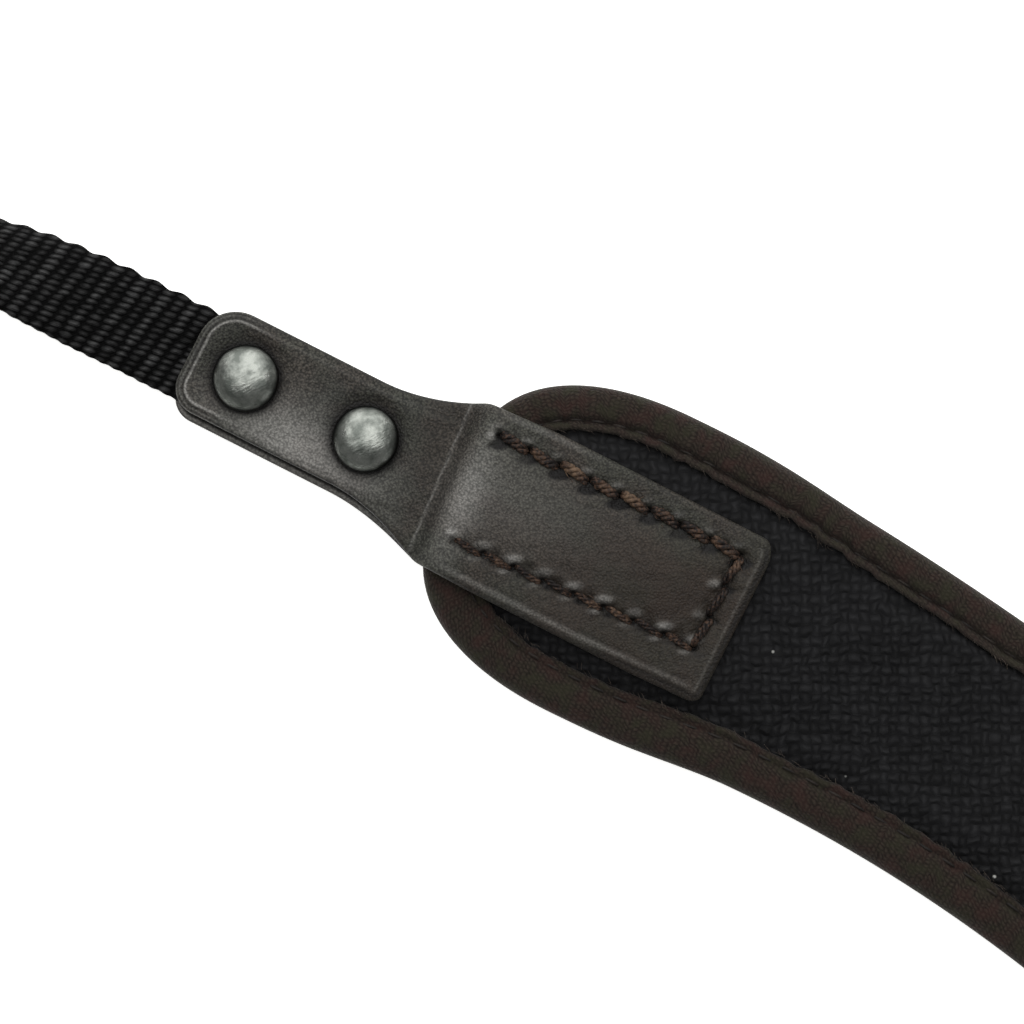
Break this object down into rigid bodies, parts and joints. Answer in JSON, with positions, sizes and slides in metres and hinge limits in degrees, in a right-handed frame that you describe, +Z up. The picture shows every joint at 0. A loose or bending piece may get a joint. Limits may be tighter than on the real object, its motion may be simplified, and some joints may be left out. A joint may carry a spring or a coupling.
{
  "type": "binocular neck strap",
  "caption": "Padded neck strap for binoculars: curved bound pad, leather tabs riveted to narrow webbing, each end with a slider and an eye for a lug.",
  "frame": {"origin": "on the surface the strap lies on, under the middle of its box", "axes": "+X from the left end to the right, +Y from the two free ends towards the neck pad, +Z up"},
  "size_m": [0.5346, 0.2864, 0.01],
  "materials": {
    "canvas": "coarse black basket-woven polyester",
    "binding": "dark brown twill tape",
    "leather": "dark brown grained leather, semi-matt",
    "rivet": "antiqued nickel, worn",
    "webbing": "ribbed black polypropylene webbing",
    "slider": "moulded black acetal, fine matt"
  },
  "bodies": {
    "root": {"neck_pad": "canvas", "edge_binding": "binding", "upper_leather_left": "leather", "upper_leather_right": "leather", "lower_leather_left": "leather", "lower_leather_right": "leather", "outer_rivet_left": "rivet", "inner_rivet_left": "rivet", "outer_rivet_right": "rivet", "inner_rivet_right": "rivet", "webbing_left": "webbing", "webbing_right": "webbing", "slider_left": "slider", "slider_right": "slider"}
  },
  "joints": []
}
